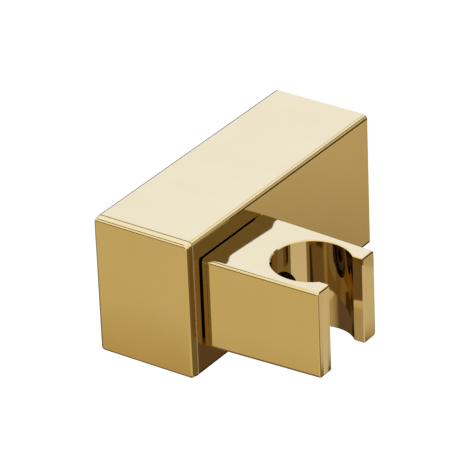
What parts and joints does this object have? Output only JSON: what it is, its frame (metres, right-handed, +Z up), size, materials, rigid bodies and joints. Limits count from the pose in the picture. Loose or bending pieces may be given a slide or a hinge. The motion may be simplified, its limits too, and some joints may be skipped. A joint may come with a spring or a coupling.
{
  "type": "hand shower holder",
  "caption": "Square wall-mounted hand shower holder: a rectangular bracket body carrying a forked cradle that swivels on its side to set the handset's angle.",
  "frame": {"origin": "middle of the face that lies against the wall", "axes": "+Z up, +Y into the wall, +X out of the body's right side along the cradle's pivot"},
  "size_m": [0.0687, 0.0884, 0.042],
  "materials": {
    "polished_gold": "mirror-polished gold",
    "stainless_steel": "plain stainless steel",
    "spring_steel": "dark spring steel",
    "nylon": "natural nylon",
    "black_plastic": "black bearing plastic"
  },
  "bodies": {
    "bracket": {"bracket_body": "polished_gold", "wall_plate": "stainless_steel", "lock_screw": "stainless_steel", "friction_washer": "black_plastic", "pivot_screw": "stainless_steel", "disc_spring_outer": "spring_steel", "disc_spring_inner": "spring_steel", "thrust_washer": "stainless_steel", "nut_washer": "stainless_steel", "lock_nut": "stainless_steel", "nut_insert": "nylon"},
    "cradle": {"cradle": "polished_gold", "pivot_bush": "black_plastic"}
  },
  "joints": [
    {"name": "cradle_swivel", "type": "hinge", "parent": "bracket", "child": "cradle", "pos_m": [0.0163, -0.0681, 0.0009], "axis": [1, 0, 0], "continuous": true}
  ]
}
